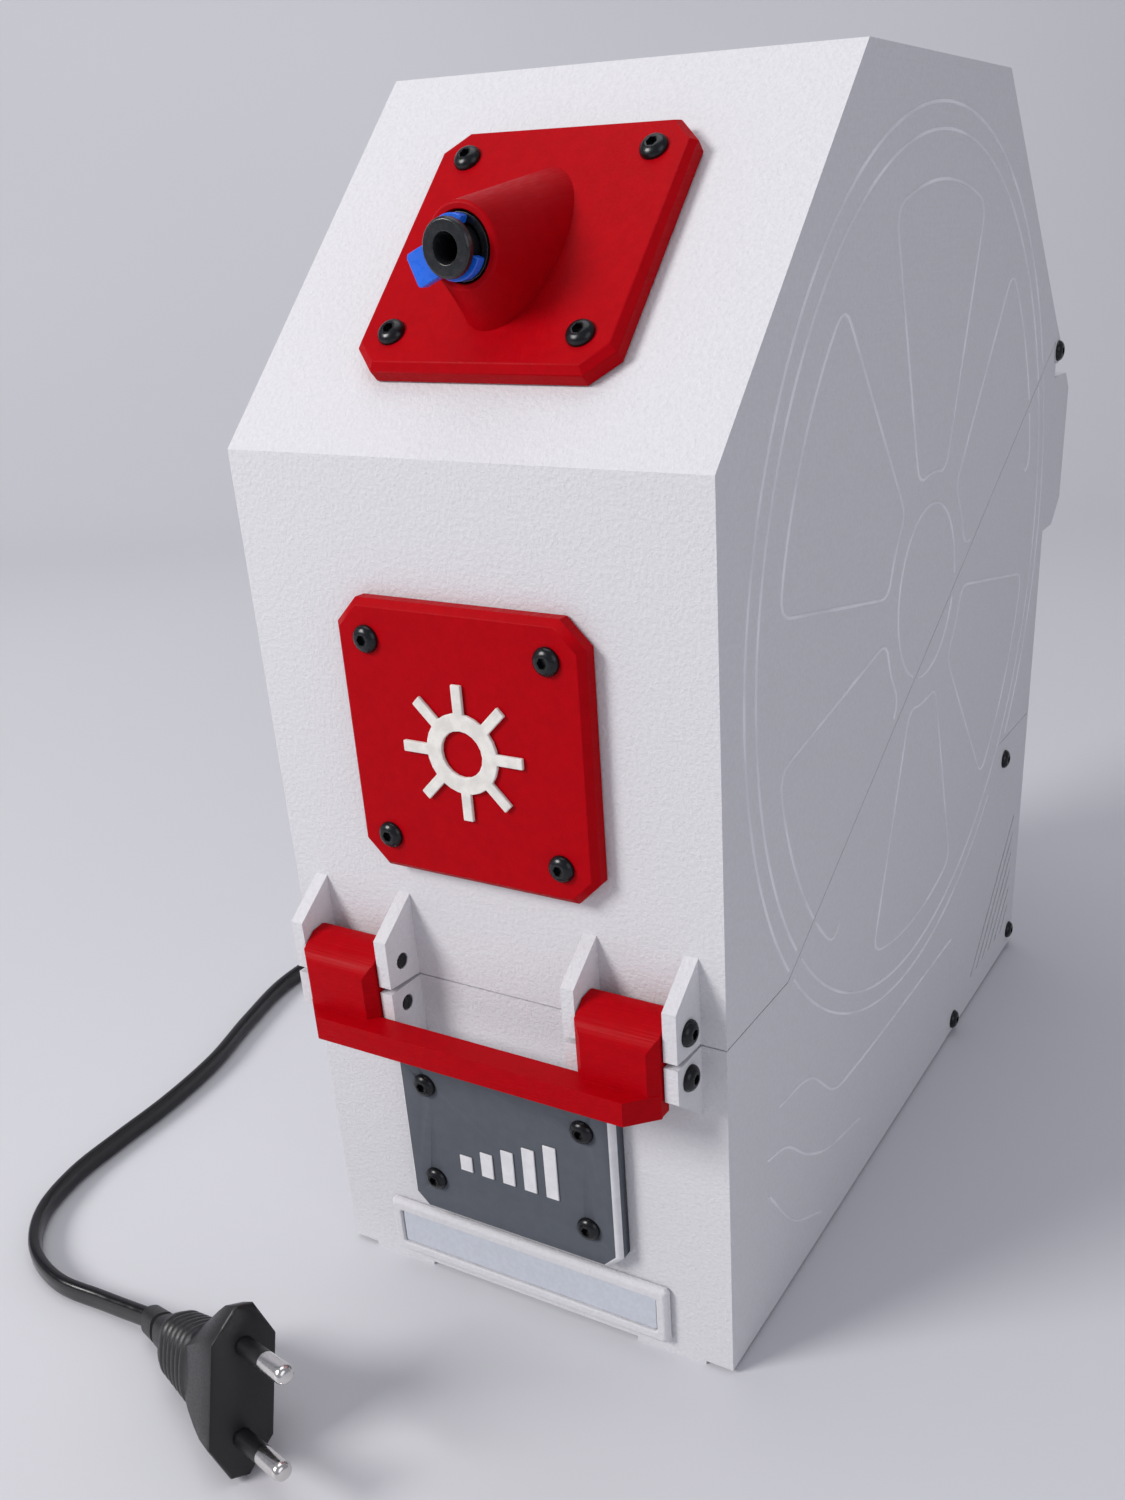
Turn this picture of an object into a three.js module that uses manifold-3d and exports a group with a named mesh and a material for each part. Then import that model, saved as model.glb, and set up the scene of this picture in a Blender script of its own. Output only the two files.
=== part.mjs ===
// Filament dryer box: a printed clamshell case that holds one spool, with a front latch,
// a filament outlet on the front slope, a heater bay in the rear lower corner and a mains lead.
// Millimetres, +Z up, +Y to the rear, +X to the right seen from the front.
// The origin is on the surface that the box stands on, under the middle of the box.
import * as THREE from 'three';
import { mergeVertices } from 'three/addons/utils/BufferGeometryUtils.js';
import Module from 'manifold-3d';

const wasm = await Module();
wasm.setup();

// ---------------------------------------------------------------- driving dimensions
const WIDTH = 103;            // case, side face to side face
const DEPTH = 215.5;          // case, front face to rear face
const FRONT_TOP = 187.8;      // height of the front face
const HEIGHT = 251.5;         // height of the flat top
const TOP_FRONT = 63.5;       // flat top, distance of its front edge from the front face
const TOP_REAR = 152.8;       // flat top, distance of its rear edge from the front face
const REAR_TOP = 191.4;       // height where the rear slope meets the rear face
const WALL = 4;               // shell thickness
const FOOT = 1;               // height of the foot pads
const GAP = 0.3;              // clearance between pieces that touch or pass through each other
const RUN = 0.08;             // radial clearance of a shaft that turns in its hole

const SEAM_Z = 81;            // level stretch of the split between base and lid
const SEAM_Y = 29;            // where the split starts to climb
const SEAM_RISE = 0.5835;     // slope of the climbing stretch

const HINGE_Y = 216.9;        // hinge axis behind the front face
const HINGE_Z = 186;          // hinge axis height
const LUG_R = 3.4;            // hinge lugs and knuckles

const LATCH_Y = -5;           // both latch bolts, in front of the front face
const LATCH_PIVOT_Z = 86.6;   // pivot bolt on the lid
const LATCH_KEEPER_Z = 76.6;  // keeper bolt on the base
const EAR_REACH = 9.6;        // latch ears stand out of the front face
const EAR_INNER = 21;         // inner ears start here, each side of the middle
const EAR_OUTER = 43;         // outer ears start here
const EAR_THICK = 3;
const BAR_FRONT = 16;         // grip bar stands this far out of the front face

const REAR_BLOCK = 17.5;      // outlet housing, its depth behind the rear face
const FLAP_AXIS = { y: DEPTH + 2.4, z: 171.6 };
const CASE_CENTRE_Y = (DEPTH + GAP + REAR_BLOCK - BAR_FRONT) / 2;

const M3 = 1.5;               // screw shank radius
const M3_HOLE = M3 + GAP;
const M3_BORE = M3 + RUN;     // where the screw is a pivot
const M3_HEAD = 2.85;         // button head radius
const M3_HEAD_H = 1.65;

const PLATE_W = 55;           // front plates, edge to edge
const PLATE_T = 4.2;
const PLATE_CHAMFER = 5;
const PLATE_PITCH = 40;       // screw pitch of the front plates
const BADGE_Z = 135.3;        // badge plate middle
const NUMBER_Z = 42.5;        // number plate middle
const NUMBER_H = 44;
const NUMBER_PITCH = 25;      // its screw pitch upwards
const NUMBER_CHAMFER = 3.6;
const NUMBER_LIFT = 0.5;      // its screws sit this far above the plate's middle
const LED_LOW = 2.7;          // light bar, lower and upper edge
const LED_HIGH = 17.5;
const LED_W = 74;
const LED_BORDER = 2.7;
const FEED_S = 43.4;          // feed plate middle, measured up the slope
const FEED_NOSE_Y = 9.4;      // face of the feed cone behind the front face
const FEED_AXIS_Z = 221.3;    // filament axis height
const CLIP_TURN = 22.62;      // the clip's tab points down to the left, 12 across for 5 down

const SPOOL_Y = 109.3;        // middle of a seated spool
const SPOOL_Z = 143.35;
const SPOOL_R = 100;
const ROLLER_R = 11;
const ROLLER_ANGLE = 25;      // rollers either side of straight down, degrees
const AXLE_R = 4;

const CORD_W = 5.4;           // flat twin mains lead
const CORD_T = 3.2;
const CORD_EXIT_X = 10;       // where the lead leaves the rear face
const CORD_EXIT_Z = 14;
const COIL_Y = 285;           // stored coil behind the case
const COIL_R = 31;            // middle of its turns
const COIL_PITCH = 5.5;       // turns beside each other
const COIL_LAYERS = 3;

// ---------------------------------------------------------------- materials
const finish = (color, roughness, metalness = 0) =>
  new THREE.MeshStandardMaterial({ color, roughness, metalness });
const white = finish(0xe9e9ee, 0.75);
const red = finish(0xc8000f, 0.5);
const grey = finish(0x585c64, 0.7);
const cream = finish(0xe2e0d8, 0.7);
const black = finish(0x101014, 0.45);
const rubber = finish(0x0c0c0e, 0.4);
const blue = finish(0x1460d8, 0.45);
const frost = finish(0xc4cad4, 0.5);
const steel = finish(0xb8bcc2, 0.3, 1);
const alloy = finish(0xa8acb2, 0.4, 1);
const silicone = finish(0xd8d8d0, 0.8);
const board = finish(0x0f5a34, 0.6);

// ---------------------------------------------------------------- geometry helpers
const V = (x, y, z) => new THREE.Vector3(x, y, z);

// A closed geometry made into a solid for cutting and joining.
function solid(geometry) {
  const bare = geometry.clone();
  bare.deleteAttribute('normal');
  bare.deleteAttribute('uv');
  const merged = mergeVertices(bare, 1e-4);
  return new wasm.Manifold(new wasm.Mesh({
    numProp: 3,
    vertProperties: new Float32Array(merged.attributes.position.array),
    triVerts: new Uint32Array(merged.index.array),
  }));
}

function geometryOf(body) {
  const mesh = body.getMesh();
  const geometry = new THREE.BufferGeometry();
  geometry.setAttribute('position', new THREE.BufferAttribute(new Float32Array(mesh.vertProperties), 3));
  geometry.setIndex(new THREE.BufferAttribute(new Uint32Array(mesh.triVerts), 1));
  return geometry;
}

const add = (bodies) => bodies.reduce((whole, body) => whole.add(body));
const cut = (body, tools) => tools.reduce((whole, tool) => whole.subtract(tool), body);

// A side outline of [y, z] points, drawn out across the case from x0 to x1.
function prism(points, x0, x1) {
  const shape = new THREE.Shape(points.map(([y, z]) => new THREE.Vector2(y, z)));
  const geometry = new THREE.ExtrudeGeometry(shape, { depth: x1 - x0, bevelEnabled: false });
  geometry.applyMatrix4(new THREE.Matrix4().makeBasis(V(0, 1, 0), V(0, 0, 1), V(1, 0, 0)));
  geometry.translate(x0, 0, 0);
  return solid(geometry);
}

function block(x0, x1, y0, y1, z0, z1) {
  const geometry = new THREE.BoxGeometry(x1 - x0, y1 - y0, z1 - z0);
  geometry.translate((x0 + x1) / 2, (y0 + y1) / 2, (z0 + z1) / 2);
  return solid(geometry);
}

// A cylinder from one point to another.
function rod(from, to, radius, sides = 16, farRadius = radius) {
  const span = to.clone().sub(from);
  const geometry = new THREE.CylinderGeometry(farRadius, radius, span.length(), sides);
  geometry.translate(0, span.length() / 2, 0);
  geometry.applyQuaternion(new THREE.Quaternion().setFromUnitVectors(V(0, 1, 0), span.normalize()));
  geometry.translate(from.x, from.y, from.z);
  return solid(geometry);
}

// A closed skin through rings of equal point count; the first and last ring are convex ends.
function loft(rings) {
  const count = rings[0].length;
  const positions = rings.flat().flatMap((p) => [p.x, p.y, p.z]);
  const index = [];
  for (let r = 0; r < rings.length - 1; r += 1) {
    for (let i = 0; i < count; i += 1) {
      const a = r * count + i;
      const b = r * count + (i + 1) % count;
      index.push(a, b, b + count, a, b + count, a + count);
    }
  }
  const last = (rings.length - 1) * count;
  for (let i = 1; i < count - 1; i += 1) {
    index.push(0, i + 1, i);
    index.push(last, last + i, last + i + 1);
  }
  const geometry = new THREE.BufferGeometry();
  geometry.setAttribute('position', new THREE.Float32BufferAttribute(positions, 3));
  geometry.setIndex(index);
  return solid(geometry);
}

// A rectangle with cut corners, anticlockwise, in the plane z.
function chamfered(w, h, c, z) {
  const x = w / 2;
  const y = h / 2;
  return [[x, c - y], [x, y - c], [x - c, y], [c - x, y], [-x, y - c], [-x, c - y], [c - x, -y], [x - c, -y]]
    .map(([px, py]) => V(px, py, z));
}

const circle = (radius, sides, z, squash = 1) => Array.from({ length: sides }, (_, i) => {
  const angle = (i / sides) * 2 * Math.PI;
  return V(radius * Math.cos(angle), radius * squash * Math.sin(angle), z);
});

const arc = (cy, cz, radius, from, to, steps) => Array.from({ length: steps + 1 }, (_, i) => {
  const angle = THREE.MathUtils.degToRad(from + ((to - from) * i) / steps);
  return [cy + radius * Math.cos(angle), cz + radius * Math.sin(angle)];
});

const seamZ = (y) => SEAM_Z + Math.max(0, y - SEAM_Y) * SEAM_RISE;
const mirrored = (make) => [-1, 1].map(make);

// ---------------------------------------------------------------- scene graph
const dryer = new THREE.Group();
const caseFrame = new THREE.Group();     // y from the front face, z from the bottom of the walls
caseFrame.position.set(0, -CASE_CENTRE_Y, FOOT);
dryer.add(caseFrame);

function put(name, shape, material, parent = caseFrame) {
  const geometry = shape.isBufferGeometry ? shape : geometryOf(shape);
  const mesh = new THREE.Mesh(geometry, material);
  mesh.name = name;
  parent.add(mesh);
  return mesh;
}

// A group whose own z axis stands out of a face: x stays across the case.
function faceFrame(y, z, tilt) {
  const group = new THREE.Group();
  group.position.set(0, y, z);
  group.rotation.x = Math.PI / 2 + tilt;
  caseFrame.add(group);
  return group;
}
const SLOPE = -Math.PI / 4;
const frontFrame = (z) => faceFrame(0, z, 0);
const slopeFrame = faceFrame(FEED_S * Math.SQRT1_2, FRONT_TOP + FEED_S * Math.SQRT1_2, SLOPE);

// ---------------------------------------------------------------- fasteners
// A button head screw: its head stands on z = 0 and its shank goes down.
function screwGeometry(length) {
  const profile = [[0, -length], [M3, -length], [M3, 0], [M3_HEAD, 0], [M3_HEAD, 0.5],
    [2, 1.45], [1.15, M3_HEAD_H], [0.95, 0.6], [0, 0.6]].map(([r, h]) => new THREE.Vector2(r, h));
  return new THREE.LatheGeometry(profile, 12).rotateX(Math.PI / 2);
}

function screw(name, length, parent, x, y, z) {
  put(name, screwGeometry(length), black, parent).position.set(x, y, z + GAP);
}

// A screw driven in from the side, along x.
function sideScrew(name, length, side, x, y, z) {
  const mesh = put(name, screwGeometry(length), black);
  mesh.position.set(side * (x + GAP), y, z);
  mesh.rotation.y = (side * Math.PI) / 2;
}

const corners = (px, pz) => [[-px / 2, pz / 2], [px / 2, pz / 2], [-px / 2, -pz / 2], [px / 2, -pz / 2]];

function plateScrews(name, places, parent) {
  places.forEach(([x, y], i) => screw(`${name}_screw_${i + 1}`, 9, parent, x, y, PLATE_T));
}

// Clearance holes through a plate or a wall, in the frame of a front face at height z.
const frontHoles = (px, pz, z) => corners(px, pz)
  .map(([x, dz]) => rod(V(x, 1 + WALL, z + dz), V(x, -1, z + dz), M3_HOLE, 12));

// ---------------------------------------------------------------- latch ears
const upperEar = [[1, 101], [0, 100], [-EAR_REACH, 92.7], [-EAR_REACH, 82], [0, SEAM_Z + GAP],
  [1, SEAM_Z + GAP]];
const lowerEar = [[1, SEAM_Z - GAP], [-EAR_REACH, SEAM_Z - GAP], [-EAR_REACH, 73], [0, 65], [1, 65]];

function ears(outline, boltZ) {
  const starts = [EAR_INNER, EAR_OUTER];
  return mirrored((side) => starts.map((x) => {
    const low = side > 0 ? x : -x - EAR_THICK;
    const ear = prism([...outline].reverse(), low, low + EAR_THICK);
    return cut(ear, [rod(V(low - 1, LATCH_Y, boltZ), V(low + EAR_THICK + 1, LATCH_Y, boltZ), M3_HOLE, 12)]);
  })).flat();
}

// ---------------------------------------------------------------- base shell
const rollerPlaces = [-1, 1].map((side) => {
  const angle = THREE.MathUtils.degToRad(ROLLER_ANGLE);
  const reach = SPOOL_R + ROLLER_R + GAP;
  return { y: SPOOL_Y + side * reach * Math.sin(angle), z: SPOOL_Z - reach * Math.cos(angle) };
});
const COVER_T = 2.5;
const coverOutline = [[147, 0], [DEPTH, 0], [DEPTH, 80], [184, 80], [147, 26]];
const coverScrews = [[190.3, 73.3], [210.5, 5.8], [152.1, 3.6]];

function baseShell() {
  const half = WIDTH / 2;
  const inside = half - WALL;
  const top = seamZ(DEPTH) - GAP / 2;
  const outer = prism([[0, 0], [DEPTH, 0], [DEPTH, top], [SEAM_Y, SEAM_Z - GAP / 2], [0, SEAM_Z - GAP / 2]],
    -half, half);
  const hollow = block(-inside, inside, WALL, DEPTH - WALL, WALL, HEIGHT);
  const shell = outer.subtract(hollow);
  const knuckle = [[DEPTH - 1, HINGE_Z - LUG_R], ...arc(HINGE_Y, HINGE_Z, LUG_R, -90, 90, 8),
    [DEPTH - 1, HINGE_Z + LUG_R - 1]];
  const knuckles = mirrored((side) => prism(knuckle, side > 0 ? 37 : -46.9, side > 0 ? 46.9 : -37));
  const feet = mirrored((side) => [0, DEPTH - 17].map((y) => block(
    Math.min(side * 28, side * 45), Math.max(side * 28, side * 45), y, y + 17, -FOOT, 1))).flat();
  const bosses = rollerPlaces.flatMap(({ y, z }) => mirrored((side) =>
    rod(V(side * (inside + 1), y, z), V(side * (inside - 4.5), y, z), AXLE_R + 3.5, 20)));
  const whole = add([shell, ...knuckles, ...feet, ...bosses, ...ears(lowerEar, LATCH_KEEPER_Z)]);

  const hingeRoom = mirrored((side) => add([
    rod(V(side * (inside - 0.6), HINGE_Y, HINGE_Z), V(side * (half + 1), HINGE_Y, HINGE_Z),
      LUG_R + 2 * GAP, 20),
    block(Math.min(side * (inside - 0.6), side * (half + 1)),
      Math.max(side * (inside - 0.6), side * (half + 1)),
      HINGE_Y - LUG_R - 2 * GAP, HINGE_Y + 5, HINGE_Z, HINGE_Z + 6)]));
  const hingeHoles = mirrored((side) => rod(V(side * 38.5, HINGE_Y, HINGE_Z), V(side * 48, HINGE_Y, HINGE_Z),
    M3_HOLE, 12));
  const axleHoles = rollerPlaces.flatMap(({ y, z }) => mirrored((side) =>
    rod(V(side * (inside - 6), y, z), V(side * (inside + 1.8), y, z), AXLE_R + GAP, 16)));
  const coverSeat = prism([[146.7, -2], [DEPTH + 1, -2], [DEPTH + 1, 80.3], [183.85, 80.3], [146.7, 26.1]],
    half - COVER_T - GAP, half + 1);
  const coverWindow = prism([[162, 10], [206, 10], [206, 58]], inside - 1, half);
  const coverHoles = coverScrews.map(([y, z]) => rod(V(half - 12, y, z), V(half, y, z), M3_HOLE, 12));
  const ventWindow = block(-40, 40, DEPTH - WALL - 1, DEPTH + 1, 147, 168);
  const glandHole = rod(V(CORD_EXIT_X, DEPTH - WALL - 1, CORD_EXIT_Z),
    V(CORD_EXIT_X, DEPTH + 1, CORD_EXIT_Z), 5, 16);
  const ledPocket = block(-33, 33, -1, 2, 6.2, 14.2);
  return cut(whole, [...hingeRoom, ...hingeHoles, ...axleHoles, coverSeat, coverWindow, ...coverHoles,
    ventWindow, glandHole, ledPocket, ...frontHoles(PLATE_PITCH, NUMBER_PITCH, NUMBER_Z + NUMBER_LIFT)]);
}

// ---------------------------------------------------------------- lid shell
function lidShell() {
  const half = WIDTH / 2;
  const inside = half - WALL;
  const bend = WALL * Math.tan(Math.PI / 8);
  const outer = prism([[0, SEAM_Z + GAP / 2], [SEAM_Y, SEAM_Z + GAP / 2], [DEPTH, seamZ(DEPTH) + GAP / 2],
    [DEPTH, REAR_TOP], [TOP_REAR, HEIGHT], [TOP_FRONT, HEIGHT], [0, FRONT_TOP]], -half, half);
  const hollow = prism([[WALL, 0], [DEPTH - WALL, 0], [DEPTH - WALL, REAR_TOP - bend],
    [TOP_REAR - bend, HEIGHT - WALL], [TOP_FRONT + bend, HEIGHT - WALL], [WALL, FRONT_TOP - bend]],
  -inside, inside);
  const lug = [[HINGE_Y - 6, HINGE_Z + 8], [HINGE_Y - LUG_R, HINGE_Z + 5],
    ...arc(HINGE_Y, HINGE_Z, LUG_R, 180, 405, 15), [HINGE_Y - 3, HINGE_Z + 7]];
  const lugs = mirrored((side) => prism(lug, side > 0 ? inside : -half, side > 0 ? half : -inside));
  const whole = add([outer.subtract(hollow), ...lugs, ...ears(upperEar, LATCH_PIVOT_Z)]);

  const lugHoles = mirrored((side) => rod(V(side * (inside - 1), HINGE_Y, HINGE_Z),
    V(side * (half + 1), HINGE_Y, HINGE_Z), M3_BORE, 12));
  const slopeHoles = [...corners(PLATE_PITCH, PLATE_PITCH).map(([x, y]) => ({ x, y, r: M3_HOLE })),
    { x: 0, y: 0, r: 9 }].map(({ x, y, r }) => {
    slopeFrame.updateMatrix();
    const [from, to] = [V(x, y, -WALL - 1), V(x, y, 1)].map((p) => p.applyMatrix4(slopeFrame.matrix));
    return rod(from, to, r, r > 3 ? 20 : 12);
  });
  const sealGroove = sealRing(2.4, 1.6 + GAP, -1);
  return cut(whole, [...lugHoles, ...slopeHoles, sealGroove,
    ...frontHoles(PLATE_PITCH, PLATE_PITCH, BADGE_Z)]);
}

// A ring that follows the split inside the wall's thickness.
function sealRing(width, height, drop) {
  const half = WIDTH / 2;
  const edge = (WALL - width) / 2;
  const band = prism([[edge, SEAM_Z + GAP / 2 + drop], [SEAM_Y, SEAM_Z + GAP / 2 + drop],
    [DEPTH - edge - 6, seamZ(DEPTH - edge - 6) + GAP / 2 + drop],
    [DEPTH - edge - 6, seamZ(DEPTH - edge - 6) + GAP / 2 + height],
    [SEAM_Y, SEAM_Z + GAP / 2 + height], [edge, SEAM_Z + GAP / 2 + height]], edge - half, half - edge);
  const core = block(WALL - edge - half, half - WALL + edge, WALL - edge, DEPTH - WALL + edge - 6, 0, HEIGHT);
  return band.subtract(core);
}

// ---------------------------------------------------------------- plates on the front
function facePlate(h, chamfer, holes) {
  const bevel = 1.3;
  const body = loft([chamfered(PLATE_W, h, chamfer, GAP), chamfered(PLATE_W, h, chamfer, PLATE_T - bevel),
    chamfered(PLATE_W - 2 * bevel, h - 2 * bevel, chamfer - 0.6, PLATE_T)]);
  return cut(body, holes.map(([x, y]) => rod(V(x, y, -1), V(x, y, PLATE_T + 1), M3_HOLE, 12)));
}

function badge() {
  const frame = frontFrame(BADGE_Z);
  put('badge_plate', facePlate(PLATE_W, PLATE_CHAMFER, corners(PLATE_PITCH, PLATE_PITCH)), red, frame);
  plateScrews('badge', corners(PLATE_PITCH, PLATE_PITCH), frame);
  // A plain pictogram of warmth: a hub ring with eight rays.
  const low = PLATE_T + GAP / 10;
  const high = low + 0.8;
  const ring = loft([circle(8, 28, low), circle(8, 28, high)])
    .subtract(loft([circle(4.6, 20, low - 1), circle(4.6, 20, high + 1)]));
  const rays = Array.from({ length: 8 }, (_, i) =>
    block(7.4, 13.5, -1.1, 1.1, low, high).rotate([0, 0, i * 45]));
  put('badge_emblem', add([ring, ...rays]), cream, frame);
}

function numberPlate() {
  const frame = frontFrame(NUMBER_Z);
  const places = corners(PLATE_PITCH, NUMBER_PITCH).map(([x, y]) => [x, y + NUMBER_LIFT]);
  put('number_plate', facePlate(NUMBER_H, NUMBER_CHAMFER, places), grey, frame);
  plateScrews('number_plate', places, frame);
}

// ---------------------------------------------------------------- filament outlet
const CONE_SIDES = 24;

// The feed plate carries an oblique cone whose nose is upright, so the filament leaves level.
function feedPlate() {
  const plate = facePlate(PLATE_W, PLATE_CHAMFER, corners(PLATE_PITCH, PLATE_PITCH));
  const inverse = slopeFrame.matrix.clone().invert();
  const nose = circle(7.25, CONE_SIDES, 0)
    .map((p) => V(p.x, FEED_NOSE_Y, FEED_AXIS_Z + p.y).applyMatrix4(inverse));
  const root = circle(9.9, CONE_SIDES, 1.5, 20.35 / 9.9).map((p) => p.add(V(0, 43.65 - FEED_S, 0)));
  const cone = loft([root, nose]);
  const [front, boreStart, pocketEnd, back] = [FEED_NOSE_Y - 1, FEED_NOSE_Y + 11, FEED_NOSE_Y + 13, 60]
    .map((y) => V(0, y, FEED_AXIS_Z).applyMatrix4(inverse));
  return cut(plate.add(cone), [rod(front, pocketEnd, 5.8, 18), rod(boreStart, back, 2.6, 12)]);
}

// A turned piece on the filament axis: [radius, y] outline that closes on itself.
function turned(outline, sides) {
  const profile = [...outline, outline[0]].map(([r, y]) => new THREE.Vector2(r, y));
  return new THREE.LatheGeometry(profile, sides);
}

function outlet() {
  put('feed_plate', feedPlate(), red, slopeFrame);
  plateScrews('feed_plate', corners(PLATE_PITCH, PLATE_PITCH), slopeFrame);
  const axis = new THREE.Group();
  axis.position.set(0, 0, FEED_AXIS_Z);
  caseFrame.add(axis);
  const fitting = [[2.4, 21.5], [2.4, 18], [4.2, 18], [4.2, 9.3], [5.5, 9.3], [5.5, 21.5]];
  put('fitting_body', turned(fitting, 20), black, axis);
  const collet = [[2.15, 17], [2.15, 5.6], [2.6, 4.7], [4.45, 4.7], [4.85, 5.1], [4.85, 6.2],
    [3.6, 6.2], [3.6, 17]];
  put('fitting_collet', turned(collet, 24), black, axis);
  const clip = loft([circle(6.3, 24, 0), circle(6.3, 24, 2)])
    .subtract(loft([circle(3.9, 20, -1), circle(3.9, 20, 3)]));
  const tab = block(-9.7, -5.2, -2.9, 2.9, 0, 2);
  const mouth = block(0, 8, -3.9, 3.9, -1, 3);
  const clipMesh = put('fitting_clip', clip.add(tab).subtract(mouth), blue, axis);
  clipMesh.position.y = 9;
  clipMesh.rotation.set(Math.PI / 2, 0, 0);
  clipMesh.rotateZ(THREE.MathUtils.degToRad(CLIP_TURN));
}

// ---------------------------------------------------------------- latch
function latchHandle() {
  const x0 = EAR_INNER + EAR_THICK + GAP;
  const x1 = EAR_OUTER - GAP;
  const front = -12.3;
  const top = LATCH_PIVOT_Z + 3.6;
  const body = [...arc(LATCH_Y, LATCH_PIVOT_Z, 3.9, -35, 75, 8), [-7, top - 0.2], [front + 1.4, 87],
    [front, 84.5],
    [front, 73], [-14, 69.8], [-7.6, 69.8], [-7.2, LATCH_KEEPER_Z + 2.2], [-4, LATCH_KEEPER_Z + 2.6]];
  const upright = (plan, low, high) => loft([low, high].map((z) => plan.map(([x, y]) => V(x, y, z))));
  // Both arms are cut to this plan, so their front edges are chamfered like the bar's ends.
  const armPlan = [[x0, 0], [x0, -10.5], [x0 + 2, front], [x1 - 2, front], [x1, -10.5], [x1, 0]];
  const arms = mirrored((side) => prism(body, side > 0 ? x0 - 1 : -x1 - 1, side > 0 ? x1 + 1 : 1 - x0)
    .intersect(upright(side > 0 ? armPlan : armPlan.map(([x, y]) => [-x, y]).reverse(), 60, 100)));
  const barPlan = [[x1, -10.2], [-x1, -10.2], [-x1, -10.6], [-37.2, -BAR_FRONT], [37.2, -BAR_FRONT],
    [x1, -10.6]];
  const bar = upright(barPlan, 69.6, 75);
  const bores = mirrored((side) => rod(V(side * (x0 - 1), LATCH_Y, LATCH_PIVOT_Z),
    V(side * (x1 + 1), LATCH_Y, LATCH_PIVOT_Z), M3_BORE, 12));
  return cut(add([...arms, bar]), bores);
}

function latch() {
  put('latch_handle', latchHandle(), red);
  const outer = EAR_OUTER + EAR_THICK;
  [['latch_pivot_bolt', LATCH_PIVOT_Z], ['latch_keeper_bolt', LATCH_KEEPER_Z]].forEach(([name, z]) => {
    mirrored((side) => sideScrew(`${name}_${side < 0 ? 'left' : 'right'}`, outer - EAR_INNER, side,
      outer, LATCH_Y, z));
  });
}

// ---------------------------------------------------------------- light bar
function lightBar() {
  const frame = frontFrame((LED_LOW + LED_HIGH) / 2);
  const h = LED_HIGH - LED_LOW;
  const body = loft([chamfered(LED_W, h, 0.8, GAP), chamfered(LED_W, h, 0.8, 1.4),
    chamfered(LED_W - 1.6, h - 1.6, 0.8, 2.2)]);
  const [w, low] = [LED_W - 2 * LED_BORDER, h - 2 * LED_BORDER];
  const opening = loft([chamfered(w, low, 0.5, -1), chamfered(w, low, 0.5, 4)]);
  put('led_frame', body.subtract(opening), white, frame);
  const inset = [w - 2 * GAP, low - 2 * GAP, 0.4];
  put('led_diffuser', loft([chamfered(...inset, GAP), chamfered(...inset, 1.6)]), frost, frame);
  put('led_strip', block(-31, 31, 0.3, 1.6, 6.7, 13.7), cream);
}

// ---------------------------------------------------------------- heater bay
const BAY = { y: 146, z: 4, run: 65.5, rise: 80 };
const bayAngle = Math.atan2(BAY.rise, BAY.run);

// Frame on the partition: y runs up the partition, z stands off it into the spool space.
function bayFrame() {
  const group = new THREE.Group();
  group.position.set(0, BAY.y, BAY.z);
  group.rotation.x = bayAngle;
  caseFrame.add(group);
  return group;
}

function heaterBay() {
  const frame = bayFrame();
  const inside = WIDTH / 2 - WALL - GAP;
  const length = Math.hypot(BAY.run, BAY.rise);
  const partition = block(-inside, inside, 2.4, length - 3.2, 0, 2);
  const slots = [30, 37, 44, 51, 58].map((y) => block(-20, 20, y, y + 4, -1, 3));
  put('bay_partition', cut(partition, slots), white, frame);
  const fins = Array.from({ length: 9 }, (_, i) => block(-17, 17, 28.6 + i * 4, 30 + i * 4, -12, -2));
  const cheeks = mirrored((side) => block(Math.min(side * 16.5, side * 21), Math.max(side * 16.5, side * 21),
    27, 64, -13.5, -GAP));
  put('heater', add([...cheeks, ...fins]), alloy, frame);
  const rim = block(-20, 20, 26, 66, -24, -13.8);
  const eye = rod(V(0, 46, -26), V(0, 46, -13), 18.6, 24);
  const spokes = [0, 60, 120].map((turn) => block(-19, 19, -1, 1, -24, -22.6)
    .rotate([0, 0, turn]).translate([0, 46, 0]));
  const seat = rod(V(0, 46, -24), V(0, 46, -22.1), 5, 16);
  put('fan_frame', add([rim.subtract(eye), ...spokes, seat]), black, frame);
  const hub = rod(V(0, 46, -21.8), V(0, 46, -14.6), 8, 20);
  const blades = Array.from({ length: 7 }, (_, i) => block(6, 17.6, -0.6, 0.6, -3, 3)
    .rotate([38, 0, 0]).rotate([0, 0, (i * 360) / 7]).translate([0, 46, -18.2]));
  put('fan_impeller', add([hub, ...blades]), black, frame);
  put('controller_board', add([block(40, 41.6, 180, 209, 7, 37), block(37, 41, 184, 196, 12, 26),
    block(36, 41, 200, 207, 10, 22),
    block(38, 43, 183, 206, WALL + GAP, 8)]), board);
  put('climate_sensor', add([block(-8, 8, 4.3, 5.9, 52, 66), block(-3, 3, 5, 8, 57, 62)]), board);
}

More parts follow.
